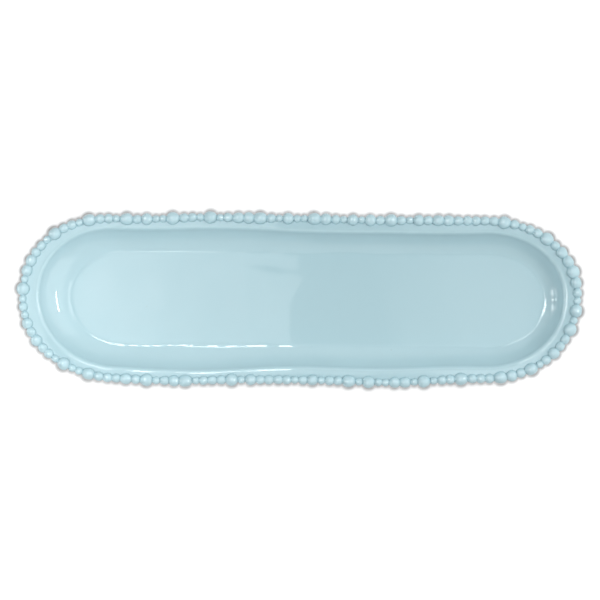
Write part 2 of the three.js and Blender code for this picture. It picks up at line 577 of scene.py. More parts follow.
    def rim_rings(self) -> list[Ring]:
        """Rounds the lip, crosses the rim and rounds its edge to the underside.

        Returns:
            The rings.
        """
        rings = []
        tilts = np.linspace(math.pi / 2 - self.wall_end, math.pi / 2 - self.rim_slope, self.lip_steps)
        for tilt in tilts[1:]:
            width, height = rounding(self.well_half, self.lip_top, self.lip_radius, tilt)
            # Painted light: a paler band round the lip, where the glaze also runs thinner.
            thin = bell(tilt - self.thin_and_lit_tilt, self.thin_and_lit_spread)
            pool = (math.sin(tilt) - math.cos(self.wall_end)) / (1 - math.cos(self.wall_end))
            rings.append(Ring(width, height, rim_waves=1.0, well_waves=1.0, pool=pool, thin=thin))
        climb = self.rim_top - rings[-1].height
        for share in np.linspace(0, 1, self.rim_steps)[1:]:
            width = lerp(self.lip_end, self.plan.rim_half, share)
            height = self.rim_top - climb * (1 - (4 * share - share**4) / 3)
            rings.append(Ring(width, height, 0.0, 1.0, 1 - share, share, pool=1.0))
        for tilt in np.linspace(0, math.pi / 2, self.edge_steps):
            width, height = rounding(self.plan.rim_half, self.rim_underside, -self.edge_radius, tilt)
            rings.append(Ring(width, height, rim_waves=1.0, edge_waves=1.0))
        return rings

    def outer_rings(self) -> list[Ring]:
        """Goes from the cove under the rim down the outside of the wall and over the underside.

        Returns:
            The rings.
        """
        rings = []
        for tilt in np.linspace(math.pi / 2, math.pi / 2 - self.wall_end, self.edge_steps):
            width, height = rounding(self.wall_outside_half, self.rim_underside, self.cove_radius, tilt)
            rings.append(Ring(width, height, rim_waves=1.0, well_waves=1.0, pool=self.cove_pool_and_shade))
        top_half = rings[-1].half_width
        widths = self.wall_widths(top_half, self.close_under)[::-1][1:]
        wall = self.wall_heights(widths, top_half, self.underside, rings[-1].height)
        heights = smooth_max(wall, self.underside, self.crease_blend * 3)
        for width, height in zip(widths, heights):
            up = max(0.0, (width - self.floor_half) / (top_half - self.floor_half))
            rings.append(Ring(width, height, 1 - up, up, up, marks=self.outside_marks * up))
        widest = self.floor_half - self.close_under - 2 * self.wide_gap
        for width in np.linspace(widest, self.middle_half, self.edge_steps):
            rings.append(Ring(width, self.underside, shift=1.0))
        return rings

    def ring_points(self, ring: Ring) -> np.ndarray:
        """Places the points of a ring.

        Args:
            ring: The ring.

        Returns:
            Its points, one in each row.
        """
        share = np.arange(self.steps_round) / self.steps_round
        swing = ring.rim_waves * outward(RIM_WAVES, share) + ring.well_waves * outward(WELL_WAVES, share)
        swing += ring.edge_waves * outward(EDGE_WAVES, share)
        swing += ring.wander * self.crease_wander.offsets(share)
        x, y = self.plan.place(share, ring.half_width + swing)
        x = x + ring.shift * self.floor_shift
        height = ring.height + ring.marks * self.floor_marks.heights(x, y)
        height += ring.dents * self.crease_dents.offsets(share)
        return np.column_stack([x, y, height])

    def build(self) -> bpy.types.Object:
        """Skins the rings with one closed mesh in the place of the dish's solid.

        Returns:
            The new piece.
        """
        rings = self.inner_rings() + self.rim_rings() + self.outer_rings()
        points = np.concatenate([self.ring_points(ring) for ring in rings])
        faces = band_faces(len(rings), self.steps_round)
        faces += bridge_faces(0, self.steps_round, downward=False)
        faces += bridge_faces((len(rings) - 1) * self.steps_round, self.steps_round, downward=True)
        piece = new_piece("dish", points, faces)
        set_mark(piece, Mark.POOL, np.repeat([ring.pool for ring in rings], self.steps_round))
        set_mark(piece, Mark.THIN, np.repeat([ring.thin for ring in rings], self.steps_round))
        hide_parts("dish_body")
        return piece


@dataclass
class FootRing(Glazed):
    """The coil that the dish stands on, smoothed into the underside.

    Attributes:
        dish: The dish above it.
        inset: How far it lies inside the edge of the floor.
        breadth: Its breadth at the top.
        taper: How far each side leans in on the way down.
        sole_radius: Rounding of the sole's edges.
        sink: How far its top goes up into the dish.
        flare: How far its top spreads out under the dish.
        flare_lean: How much of the taper is used up where the flare ends.
        wiped: How far up from the sole the glaze is wiped away.
        steps: Points in each curve of the section.
    """

    slot: ClassVar[Slot] = Slot.FOOT

    dish: Dish
    inset: float = 5 * MM
    breadth: float = 8 * MM
    taper: float = 1.5 * MM
    sole_radius: float = 1.1 * MM
    sink: float = 0.4 * MM
    flare: float = 1.0 * MM
    flare_lean: float = 0.12
    wiped: float = 1.2 * MM
    steps: int = 6

    def side(self) -> list[tuple[float, float]]:
        """Draws one side of the section, from the underside of the dish to the middle of the sole.

        Returns:
            Distances in from the top of the side, with their heights.
        """
        low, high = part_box("foot_ring")
        top = high.z
        outline = [(-self.flare, top + self.sink), (-self.flare, top)]
        for share in np.linspace(0, 1, self.steps)[1:]:
            inwards = lerp(-self.flare, self.flare_lean * self.taper, 1 - (1 - share) ** 2)
            outline.append((inwards, top - self.flare * share**2))
        lean = self.taper / (top - low.z)
        for turn in np.linspace(0, math.pi / 2, self.steps):
            height = low.z + self.sole_radius * (1 - math.sin(turn))
            inwards = lean * (top - height) + self.sole_radius * (1 - math.cos(turn))
            outline.append((inwards, height))
        outline.append((self.breadth / 2, low.z))
        return outline

    def section(self) -> list[tuple[float, float]]:
        """Puts the two sides of the section together.

        Returns:
            Half widths and heights around the section.
        """
        outside = self.dish.floor_half - self.inset
        side = self.side()
        outer = [(outside - inwards, height) for inwards, height in side]
        inner = [(outside - self.breadth + inwards, height) for inwards, height in reversed(side[:-1])]
        return outer + inner

    def build(self) -> bpy.types.Object:
        """Skins the section round the plate in the place of the foot's solid.

        Returns:
            The new piece.
        """
        section = self.section()
        size = self.dish.steps_round // 2
        share = np.arange(size) / size
        rows = []
        for half_width, height in section:
            x, y = self.dish.plan.place(share, np.full(size, half_width))
            rows.append(np.column_stack([x + self.dish.floor_shift, y, np.full(size, height)]))
        piece = new_piece("foot", np.concatenate(rows), band_faces(len(section), size, closed=True))
        low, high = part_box("foot_ring")
        heights = np.repeat([height for _, height in section], size)
        set_mark(piece, Mark.THIN, 1 - (heights - low.z) / self.wiped)
        set_mark(piece, Mark.POOL, (heights - high.z) / self.flare + 1)
        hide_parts("foot_ring")
        return piece


class BeadSize(Enum):
    """Widths of the four sizes of bead, by the letter that stands for each in the row."""

    L = 11.7 * MM
    M = 9.9 * MM
    S = 8.1 * MM
    T = 6.5 * MM


@dataclass
class Bead:
    """One ball of clay in the row.

    Attributes:
        strip: Which strip it belongs to.
        radius: Its radius.
        pitch: Distance to the centre of the next bead.
        place: Where its centre is along the row.
        inset: How far it is pressed in over the rim.
        breadth: Its breadth across the row, as a share of a round bead's.
        rise: Its height, as a share of a round bead's.
        lump: Where its lumps begin around it, in radians.
    """

    strip: int
    radius: float
    pitch: float = 0.0
    place: float = 0.0
    inset: float = 0.0
    breadth: float = 1.0
    rise: float = 1.0
    lump: float = 0.0


@dataclass
class BeadRow(Glazed):
    """The beads along the rim, clockwise from the left tip, softened into one another by the glaze.

    Attributes:
        plan: Plan of the plate.
        rim_top: Height of the rim.
        order: Sizes of the beads by letter. A large one begins each group.
        start: Where the first bead's centre is along the row.
        strips: How many strips the row is made of.
        press: Spacing of two pressed beads, as a share of their radii together.
        strip_gap, seat_gap: Gaps between the solids of two strips, and between them and the rim.
        neck: Radius of the neck between two beads, as a share of the smaller one's.
        fill: How much glaze fills each neck.
        swell: How much the glaze adds to the radius of the beads that aren't large.
        skirt, skirt_height: Width of the glaze that runs out on to the rim, and its climb up the bead.
        flank: How high up a bead's sides its colour is darker, as a share of its radius, for thick glaze and
            painted shade.
        lumps: Depth of the dents that pressing leaves in a bead, as a share of its radius.
        lift: Height of the beads' centres over the rim.
        insets: Least and most that a bead is pressed in over the rim.
        breadths, rises: Least and most breadth and height of a bead, as shares of a round one's.
        bead_steps: Rings along each bead.
        line_steps: Steps for measuring along the row.
        seed: Seed of the unevenness from bead to bead.
        beads: The beads, once they are placed.
        lengths: How long the row is up to each step of measuring.
    """

    slot: ClassVar[Slot] = Slot.BEAD

    plan: OvalPlan
    rim_top: float
    order: tuple[str, ...] = (
        "LtMMsst Lsst Lsst LsMtt Lsst LtsMM LstMtt LMstMtMs LstMsMMsssss Lstss LsMM LMst Lt LssMst",
        "LsM Lsss Lsst LtMMtt Lt LsstMstssssMt Lssst LMst LsMsss Ltt LtssMsMtst",
    )
    start: float = 8.2 * MM
    strips: int = 46
    press: float = 0.94
    strip_gap: float = 0.3 * MM
    seat_gap: float = 0.3 * MM
    neck: float = 0.56
    fill: float = 0.15 * MM
    swell: float = 0.3 * MM
    skirt: float = 0.5 * MM
    skirt_height: float = 1.0 * MM
    flank: float = 0.55
    lumps: float = 0.09
    lift: float = 0.1 * MM
    insets: tuple[float, float] = (0.15 * MM, 0.4 * MM)
    breadths: tuple[float, float] = (0.96, 1.0)
    rises: tuple[float, float] = (0.92, 1.0)
    bead_steps: int = 18
    line_steps: int = 4000
    seed: int = 8
    beads: list[Bead] = field(init=False)
    lengths: np.ndarray = field(init=False)

    def __post_init__(self) -> None:
        """Measures the line of the row and places the beads on it."""
        x, y = self.line(np.arange(self.line_steps + 1) / self.line_steps)
        self.lengths = np.concatenate([[0.0], np.cumsum(np.hypot(np.diff(x), np.diff(y)))])
        self.beads = self.placed_beads()

    def line(self, share: np.ndarray) -> tuple[np.ndarray, np.ndarray]:
        """Finds points of the line through the beads' centres, at shares of the way round."""
        swing = outward(RIM_WAVES + EDGE_WAVES, share)
        return self.plan.place(share % 1, self.plan.rim_half + self.seat_gap + swing)

    def row(self, count: int) -> list[Bead]:
        """Sets up a row of so many beads, with the pitch from each to the next.

        Args:
            count: How many beads.

        Returns:
            The beads, not placed yet.
        """
        letters = "".join(self.order).replace(" ", "").upper()
        beads = [
            Bead(index * self.strips // count, BeadSize[letters[index % len(letters)]].value / 2)
            for index in range(count)
        ]
        for bead, after in zip(beads, beads[1:] + beads[:1]):
            radii = bead.radius + after.radius
            bead.pitch = radii * self.press if bead.strip == after.strip else radii + self.strip_gap
        return beads

    def placed_beads(self) -> list[Bead]:
        """Takes as many beads as the line holds and spreads them over what is left of it.

        Returns:
            The beads.
        """
        whole = self.lengths[-1]
        count = self.strips
        while sum(bead.pitch for bead in self.row(count + 1)) <= whole:
            count += 1
        beads = self.row(count)
        spread = whole / sum(bead.pitch for bead in beads)
        draw = np.random.default_rng(self.seed)
        place = self.start
        for bead in beads:
            bead.pitch *= spread
            bead.place = place
            bead.inset = draw.uniform(*self.insets)
            bead.breadth = draw.uniform(*self.breadths)
            bead.rise = draw.uniform(*self.rises)
            bead.lump = draw.uniform(0, 2 * math.pi)
            place += bead.pitch
        return beads

    def share_at(self, place: float) -> float:
        """Finds which share of the way round a place along the row is."""
        return np.interp(place % self.lengths[-1], self.lengths, np.linspace(0, 1, self.line_steps + 1))

    def centre(self, bead: Bead) -> np.ndarray:
        """Finds a bead's centre, seen from above."""
        return np.array(self.line(self.share_at(bead.place)))

    def section_angles(self) -> np.ndarray:
        """Spaces points round a bead's section, closest where its glaze runs out on to the rim.

        Returns:
            Their bearings in radians, where 0 is straight out and a quarter turn is up.
        """
        hidden = np.radians([-172, -150, -125])
        open_side = np.radians(np.arange(-100, 156, 9.0))
        skirt = np.radians([160, 164, 167.5, 171, 174, 177, 179.5])
        return np.concatenate([hidden, open_side, skirt])

    def ring(self, place: float, radius: float, bead: Bead, way: float) -> np.ndarray:
        """Draws the section of the row at one place.

        Args:
            place: Where it is along the row.
            radius: Radius of the row there.
            bead: The bead that it belongs to.
            way: How far along the bead it is, from -1 to 1.

        Returns:
            The points of the section, then the mask of gathered glaze and painted shade of each in a fourth
            column.
        """
        share = self.share_at(place)
        step = 0.5 / self.line_steps
        x, y = self.line(np.array([share - step, share, share + step]))
        heading = np.array([x[2] - x[0], y[2] - y[0]])
        heading /= np.hypot(*heading)
        angles = self.section_angles()
        dents = (1 - way**4) * (1 + np.sin(2 * angles + bead.lump + 2 * way)) / 2
        pressed = radius * (1 - self.lumps * dents)
        out = pressed * bead.breadth * np.cos(angles) - bead.inset
        up = pressed * bead.rise * np.sin(angles)
        climb = np.clip((up + self.lift) / self.skirt_height, 0, 1)
        inner = np.cos(angles) < 0
        out = out - np.where(inner, self.skirt * (1 - climb) ** 3, 0.0)
        height = self.rim_top + self.lift + up
        # Painted shade: the lower sides of the bead, and its foot on the inner side where it sits on the rim,
        # take the darker colour, as thick glaze does.
        flank = 1 - np.clip(np.sin(angles) / self.flank, 0, 1)
        pool = np.maximum(np.where(inner, (1 - climb) ** 2, 0.0), flank**1.5)
        return np.column_stack([x[1] - heading[1] * out, y[1] + heading[0] * out, height, pool])

    def bead_rings(self, index: int, last: bool) -> list[np.ndarray]:
        """Draws the sections of one bead, from its neck with the bead before to the neck after it.

        Args:
            index: Number of the bead.
            last: Whether it ends its strip, so that the neck after it is drawn too.

        Returns:
            The sections, each with its mask of gathered glaze and painted shade.
        """
        bead = self.beads[index]
        before = self.beads[index - 1]
        after = self.beads[(index + 1) % len(self.beads)]
        back = before.pitch * bead.radius / (bead.radius + before.radius)
        ahead = bead.pitch * bead.radius / (bead.radius + after.radius)
        rings = []
        for step in range(self.bead_steps + (1 if last else 0)):
            way = -math.cos(math.pi * step / self.bead_steps)
            beside = before if way < 0 else after
            neck = self.neck * min(bead.radius, beside.radius)
            full = min(bead.radius + self.swell, BeadSize.L.value / 2)
            radius = full * math.sqrt(1 - way**2 * (1 - (neck / full) ** 2))
            soft = float(smooth_max(np.array(radius), neck + self.fill, self.fill))
            blended = self.between(bead, beside, abs(way))
            ring = self.ring(bead.place + way * (back if way < 0 else ahead), soft, blended, way)
            # Painted shade in the neck between two beads, where the glaze also gathers.
            hollow = 1 - (soft - neck) / (bead.radius - neck)
            ring[:, 3] = np.maximum(ring[:, 3], hollow**2)
            rings.append(ring)
        return rings

    def between(self, bead: Bead, beside: Bead, way: float) -> Bead:
        """Eases the unevenness of a bead into that of the bead beside it.

        Args:
            bead: The bead.
            beside: The one beside it.
            way: How far from the bead's centre to their neck, from 0 to 1.

        Returns:
            A bead with the eased values.
        """
        names = ("inset", "breadth", "rise")
        eased = {name: lerp(getattr(bead, name), getattr(beside, name), way**4 / 2) for name in names}
        return replace(bead, **eased)

    def build_strip(self, strip: int) -> bpy.types.Object:
        """Skins the beads of one strip in the place of its solid.

        Args:
            strip: Number of the strip, from 0.

        Returns:
            The new piece.
        """
        members = [index for index, bead in enumerate(self.beads) if bead.strip == strip]
        rings = []
        for index in members:
            rings += self.bead_rings(index, last=index == members[-1])
        size = len(rings[0])
        table = np.concatenate(rings)
        faces = band_faces(len(rings), size)
        faces.append(tuple(reversed(range(size))))
        faces.append(tuple(range((len(rings) - 1) * size, len(rings) * size)))
        piece = new_piece(f"beads_{strip + 1:02d}", table[:, :3], faces)
        set_mark(piece, Mark.POOL, table[:, 3])
        # Painted light: the beads turn slightly paler towards their tops, where the glaze also runs thinner.
        set_mark(piece, Mark.THIN, (table[:, 2] - self.rim_top) / BeadSize.L.value)
        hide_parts(f"bead_strip_{strip + 1:02d}")
        return piece

    def build(self) -> list[bpy.types.Object]:
        """Builds every strip of the row."""
        return [self.build_strip(strip) for strip in range(self.strips)]


class NodeBoard:
    """Places and links nodes in a node tree.

    Attributes:
        tree: The node tree.
    """

    def __init__(self, tree: bpy.types.NodeTree) -> None:
        """Takes the tree to work on."""
        self.tree = tree

    def fill(self, node: bpy.types.Node, inputs: Inputs) -> None:
        """Sets inputs of a node.

        Args:
            node: The node.
            inputs: Values or output sockets for its inputs, by name or number.
        """
        for name, value in inputs.items():
            if isinstance(value, bpy.types.NodeSocket):
                self.tree.links.new(value, node.inputs[name])
            else:
                node.inputs[name].default_value = value

    def add(self, kind: str, inputs: Inputs | None = None, **settings: object) -> bpy.types.Node:
        """Adds a node.

        Args:
            kind: Its type.
            inputs: Values or output sockets for its inputs, by name or number.
            settings: Its other settings.

        Returns:
            The node.
        """
        node = self.tree.nodes.new(kind)
        for name, value in settings.items():
            setattr(node, name, value)
        self.fill(node, inputs or {})
        return node

    def group(self, tree: bpy.types.NodeTree, inputs: Inputs) -> bpy.types.NodeSocket:
        """Adds a group and gives its one output."""
        return self.add("ShaderNodeGroup", inputs, node_tree=tree).outputs[0]

    def math(self, operation: str, first: object, second: object = 0.0) -> bpy.types.NodeSocket:
        """Adds a sum of two values or sockets and gives its output."""
        return self.add("ShaderNodeMath", {0: first, 1: second}, operation=operation).outputs[0]

    def mix(self, share: object, first: object, second: object) -> bpy.types.NodeSocket:
        """Mixes two colours by a share and gives the output."""
        return self.add("ShaderNodeMix", {0: share, 6: first, 7: second}, data_type="RGBA").outputs[2]

    def place(self) -> bpy.types.NodeSocket:
        """Gives places that lie fixed on the piece."""
        return self.add("ShaderNodeTexCoord").outputs["Object"]

    def noise(self, scale: object, detail: float, roughness: float = 0.5) -> bpy.types.NodeSocket:
        """Adds noise that lies fixed on the piece and gives its value."""
        inputs = {"Vector": self.place(), "Scale": scale, "Detail": detail, "Roughness": roughness}
        return self.add("ShaderNodeTexNoise", inputs).outputs["Fac"]

    def mark(self, mark: Mark) -> bpy.types.NodeSocket:
        """Reads a mask of the mesh."""
        return self.add("ShaderNodeAttribute", attribute_name=mark.value).outputs["Fac"]

    def seen(self) -> bpy.types.NodeSocket:
        """Tells the rays by which the background is seen, directly, mirrored or through glass.

        Returns:
            A socket that is 1 for such a ray and 0 for others.
        """
        path = self.add("ShaderNodeLightPath").outputs
        mirrored = self.math("MAXIMUM", path["Is Camera Ray"], path["Is Glossy Ray"])
        return self.math("MAXIMUM", mirrored, path["Is Transmission Ray"])


class SocketKind(Enum):
    """Kinds of socket that the glaze groups have."""

    VALUE = "NodeSocketFloat"
    COLOUR = "NodeSocketColor"


def new_group(
    name: str, colours: Sequence[str], values: Sequence[str]
) -> tuple[NodeBoard, bpy.types.bpy_prop_collection]:
    """Starts a shader node group.

    Args:
        name: Name of the group.
        colours: Names of the inputs that take a colour.
        values: Names of the inputs that take a value.

    Returns:
        The group's board, and the sockets inside it that hold what it is given.
    """
    board = NodeBoard(bpy.data.node_groups.new(name, "ShaderNodeTree"))
    for kind, labels in ((SocketKind.COLOUR, colours), (SocketKind.VALUE, values)):
        for label in labels:
            board.tree.interface.new_socket(label, in_out="INPUT", socket_type=kind.value)
    return board, board.add("NodeGroupInput").outputs


def end_group(
    board: NodeBoard, label: str, kind: SocketKind, result: bpy.types.NodeSocket
) -> bpy.types.NodeTree:
    """Gives a group its one output.

    Args:
        board: The group's board.
        label: Name of the output.
        kind: What it puts out.
        result: The socket that makes it.

    Returns:
        The group.
    """
    board.tree.interface.new_socket(label, in_out="OUTPUT", socket_type=kind.value)
    board.add("NodeGroupOutput", {label: result})
    return board.tree


CLOUD_SCALE = 22.0
CLOUD_ROUGHNESS = 0.45
PATCH_SCALE = 38.0


def tone_group() -> bpy.types.NodeTree:
    """Makes the glaze's tone: deeper where it gathers and where shade is painted, paler where it runs thinner
    and where light is painted, and softly clouded.

    Returns:
        The group.
    """
    board, given = new_group("glaze_tone_and_painted_light", ("Glaze", "Pooled", "Thin"), ("Pool", "Thinness", "Cloud"))
    noise = board.noise(CLOUD_SCALE, 3.0, CLOUD_ROUGHNESS)
    pool = board.math("ADD", given["Pool"], board.math("MULTIPLY", noise, given["Cloud"]))
    pooled = board.mix(pool, given["Glaze"], given["Pooled"])
    thinned_and_lit = board.mix(given["Thinness"], pooled, given["Thin"])
    return end_group(board, "Colour", SocketKind.COLOUR, thinned_and_lit)


def ripple_group() -> bpy.types.NodeTree:
    """Makes the height of the glaze: slow ripples with a finer orange peel over them.

    Returns:
        The group.
    """
    board, given = new_group("glaze_ripple", (), ("Ripple Scale", "Peel Scale", "Peel"))
    slow = board.noise(given["Ripple Scale"], 1.0)
    peel = board.math("MULTIPLY", board.noise(given["Peel Scale"], 2.0), given["Peel"])
    return end_group(board, "Height", SocketKind.VALUE, board.math("ADD", slow, peel))


def speck_group() -> bpy.types.NodeTree:
    """Makes a mask of the few fine specks and pinholes that a kiln leaves in a glaze.

    Returns:
        The group.
    """
    board, given = new_group("glaze_specks", (), ("Scale", "Size", "Rarity"))
    cells = board.add("ShaderNodeTexVoronoi", {"Vector": board.place(), "Scale": given["Scale"]}).outputs
    close = board.math("LESS_THAN", cells["Distance"], given["Size"])
    lot = board.add("ShaderNodeSeparateColor", {0: cells["Color"]}).outputs[0]
    chosen = board.math("GREATER_THAN", lot, given["Rarity"])
    return end_group(board, "Mask", SocketKind.VALUE, board.math("MULTIPLY", close, chosen))


def gloss_group() -> bpy.types.NodeTree:
    """Makes the roughness of the glaze: nearly even, duller in faint patches and where it is wiped.

    Returns:
        The group.
    """
    board, given = new_group("glaze_gloss", (), ("Glossy", "Dull", "Wiped", "Wipe"))
    noise = board.noise(PATCH_SCALE, 2.0)
    span = {"Value": noise, "To Min": given["Glossy"], "To Max": given["Dull"]}
    patch = board.add("ShaderNodeMapRange", span).outputs["Result"]
    worn = board.math("MULTIPLY", given["Wiped"], given["Wipe"])
    return end_group(board, "Roughness", SocketKind.VALUE, board.math("ADD", patch, worn))


@dataclass(frozen=True)
class GlazeGroups:
    """The effects that the glazes share.

    Attributes:
        tone: Colour of the glaze.
        ripple: Height of the glaze.
        specks: Mask of fine specks.
        gloss: Roughness of the glaze.
    """

    tone: bpy.types.NodeTree = field(default_factory=tone_group)
    ripple: bpy.types.NodeTree = field(default_factory=ripple_group)
    specks: bpy.types.NodeTree = field(default_factory=speck_group)
    gloss: bpy.types.NodeTree = field(default_factory=gloss_group)


@dataclass(frozen=True)
class Glaze:
    """Finish of a glazed piece.

    Attributes:
        slot: Slot of the record that it stands for.
        glaze: Colour of the glaze.
        pooled: Its colour where it is thick, which is also its painted shade.
        thin: Its colour where it runs thinner, which on the lip and the beads is also painted light.
        speck: Colour of its specks.
        speck_scale, speck_rarity: Places for a speck to a metre, and the share that stays empty.
        speck_size: Size of a speck, as a share of its place.
        cloud: How strongly its tone is clouded.
        glossy, dull: Roughness where it is clearest and where it is dullest.
        wipe: Roughness that wiping adds where it runs thinner.
        index: How strongly it bends light.
        ripple_depth, ripple_scale: Depth of its ripples, and how many go to a metre.
        peel, peel_scale: Depth of its orange peel, as a share of the ripples', and its fineness.
    """

    slot: Slot
    glaze: Colour
    pooled: Colour
    thin: Colour
    speck: Colour = (0.30, 0.36, 0.36)
    speck_scale: float = 95.0
    speck_size: float = 0.035
    speck_rarity: float = 0.9
    cloud: float = 0.12
    glossy: float = 0.005
    dull: float = 0.025
    wipe: float = 0.0
    index: float = 1.5
    ripple_depth: float = 0.02 * MM
    ripple_scale: float = 60.0
    peel_scale: float = 420.0
    peel: float = 0.05

    def material(self, groups: GlazeGroups) -> bpy.types.Material:
        """Builds the finish.

        Args:
            groups: The effects that the glazes share.

        Returns:
            The material.
        """
        made = bpy.data.materials.new(self.slot.value)
        made.use_nodes = True
        board = NodeBoard(made.node_tree)
        # The masks bring painted shade, where the tone turns darker, and painted light, where it turns paler.
        thin = board.mark(Mark.THIN)
        tones = {"Glaze": self.glaze, "Pooled": self.pooled, "Thin": self.thin}
        masks = {"Pool": board.mark(Mark.POOL), "Thinness": thin, "Cloud": self.cloud}
        tone = board.group(groups.tone, {label: (*colour, 1.0) for label, colour in tones.items()} | masks)
        lots = {"Scale": self.speck_scale, "Size": self.speck_size, "Rarity": self.speck_rarity}
        specks = board.group(groups.specks, lots)
        wear = {"Glossy": self.glossy, "Dull": self.dull, "Wiped": thin, "Wipe": self.wipe}
        waves = {"Ripple Scale": self.ripple_scale, "Peel Scale": self.peel_scale, "Peel": self.peel}
        height = board.group(groups.ripple, waves)
        bump = board.add("ShaderNodeBump", {"Height": height, "Distance": self.ripple_depth})
        finish = {
            "Base Color": board.mix(specks, tone, (*self.speck, 1.0)),
            "Roughness": board.group(groups.gloss, wear),
            "IOR": self.index,
            "Normal": bump.outputs["Normal"],
        }
        board.fill(made.node_tree.nodes["Principled BSDF"], finish)
        return made


# Its darker colour is thick glaze and painted shade; the colour for thinner glaze paints a paler band round
# the lip.
DISH_GLAZE = Glaze(
    Slot.DISH,
    glaze=(0.432, 0.605, 0.656),
    pooled=(0.352, 0.518, 0.567),
    thin=(0.415, 0.59, 0.64),
)
# Its darker colour is thick glaze and painted shade on the beads' sides, necks and feet; the colour for
# thinner glaze is painted light on their tops.
BEAD_GLAZE = Glaze(
    Slot.BEAD,
    glaze=(0.41, 0.588, 0.64),
    pooled=(0.33, 0.495, 0.55),
    thin=(0.415, 0.593, 0.645),
    ripple_depth=0.06 * MM,
    ripple_scale=170.0,
    peel=0.35,
)
FOOT_GLAZE = Glaze(
    Slot.FOOT,
    glaze=(0.43, 0.62, 0.665),
    pooled=(0.36, 0.575, 0.635),
    thin=(0.66, 0.66, 0.61),
    wipe=0.5,
    ripple_depth=0.04 * MM,
    ripple_scale=140.0,
)


class LampUse(Enum):
    """What a lamp does for the plate: light it, show as a reflection in its glaze, or both."""

    BOTH = "both"
    MIRRORED = "mirrored"
    LIGHTING = "lighting"


@dataclass(frozen=True)
class Lamp:
    """Soft rectangular studio light.

    Attributes:
        name: Its name.
        place: Where it stands.
        aim: The point that it faces.
        width: Its width, along the plate where it can be.
        depth: Its depth.
        radiance: How bright its face is, where 1 is white paper under the studio's light.
        use: What it does for the plate.
        turn: How far it is turned about its own axis.
        fade: Brightness of its right edge, as a share of its left edge's.
        fade_power: How soon it fades, from 1 for evenly to more for mostly near the left edge.
        mottle: How unevenly its cloth lets the light through.
        fold_scale, fold_detail, fold_bend: How many, how fine and how crooked the cloth's folds are.
        fold_range: Depths of fold between which the light changes.
    """

    name: str
    place: Point
    aim: Point
    width: float
    depth: float
    radiance: float
    use: LampUse = LampUse.BOTH
    turn: float = 0.0
    fade: float = 1.0
    fade_power: float = 1.0
    mottle: float = 0.0
    fold_scale: float = 12.0
    fold_detail: float = 5.0
    fold_bend: float = 1.5
    fold_range: tuple[float, float] = (0.3, 0.7)

    def shade(self, data: bpy.types.AreaLight) -> None:
        """Lets the light fade across its face, unevenly.

        Args:
            data: The light.
        """
        data.use_nodes = True
        board = NodeBoard(data.node_tree)
        face = board.add("ShaderNodeNewGeometry").outputs["Parametric"]
        across = board.add("ShaderNodeSeparateXYZ", {"Vector": face}).outputs["X"]
        left = board.math("POWER", board.math("SUBTRACT", 1.0, across), self.fade_power)
        strength = board.math("ADD", board.math("MULTIPLY", left, 1.0 - self.fade), self.fade)
        cloth = {"Scale": self.fold_scale, "Detail": self.fold_detail, "Distortion": self.fold_bend}
        folds = board.add("ShaderNodeTexNoise", {"Vector": face} | cloth).outputs["Fac"]
        labels = ("From Min", "From Max", "To Min", "To Max")
        span = dict(zip(labels, (*self.fold_range, 1.0 - self.mottle, 1.0 + self.mottle)))
        uneven = board.add("ShaderNodeMapRange", {"Value": folds} | span).outputs["Result"]
        board.fill(data.node_tree.nodes["Emission"], {"Strength": board.math("MULTIPLY", strength, uneven)})

    def build(self) -> None:
        """Hangs the light, out of the camera's sight."""
        data = bpy.data.lights.new(self.name, "AREA")
        data.shape = "RECTANGLE"
        data.size = self.width
        data.size_y = self.depth
        data.energy = self.radiance * math.pi * self.width * self.depth
        lamp = bpy.data.objects.new(self.name, data)
        lamp.location = self.place
        towards = Vector(self.aim) - Vector(self.place)
        spin = Matrix.Rotation(self.turn, 3, "Z")
        lamp.rotation_euler = (towards.to_track_quat("-Z", "Y").to_matrix() @ spin).to_euler()
        lamp.visible_camera = False
        lamp.visible_diffuse = self.use is not LampUse.MIRRORED
        lamp.visible_glossy = self.use is not LampUse.LIGHTING
        if self.fade != 1.0 or self.mottle:
            self.shade(data)
        bpy.context.scene.collection.objects.link(lamp)


def overhead(name: str, place: Point, width: float, depth: float, radiance: float, **shading: float) -> Lamp:
    """Makes a light that faces straight down and only shows as a reflection in the glaze."""
    return Lamp(name, place, (*place[:2], 0.0), width, depth, radiance, LampUse.MIRRORED, **shading)


@dataclass(frozen=True)
class Viewpoint:
    """Where the photograph was taken from: straight above the plate.

    Attributes:
        distance: From the camera to the plane of the rim.
        turn: How far the plate lies turned clockwise in the picture.
        frame_width: Width of the picture at the plane of the rim.
        aim: The point of that plane in the middle of the picture.
        sensor: Width of the camera's sensor, in millimetres.
    """

    distance: float = 3.0
    turn: float = math.radians(0.376)
    frame_width: float = 0.5385
    aim: tuple[float, float] = (0.0007, -0.00046)
    sensor: float = 36.0

    def build(self, rim_top: float) -> None:
        """Sets the camera up.

        Args:
            rim_top: Height of the plane of the rim.
        """
        data = bpy.data.cameras.new("camera")
        data.sensor_width = self.sensor
        data.lens = self.sensor * self.distance / self.frame_width
        camera = bpy.data.objects.new("camera", data)
        place = Matrix.Translation((*self.aim, rim_top + self.distance))
        camera.matrix_world = place @ Matrix.Rotation(self.turn, 4, "Z")
        bpy.context.scene.collection.objects.link(camera)
        bpy.context.scene.camera = camera


WHITE = (1.0, 1.0, 1.0, 1.0)


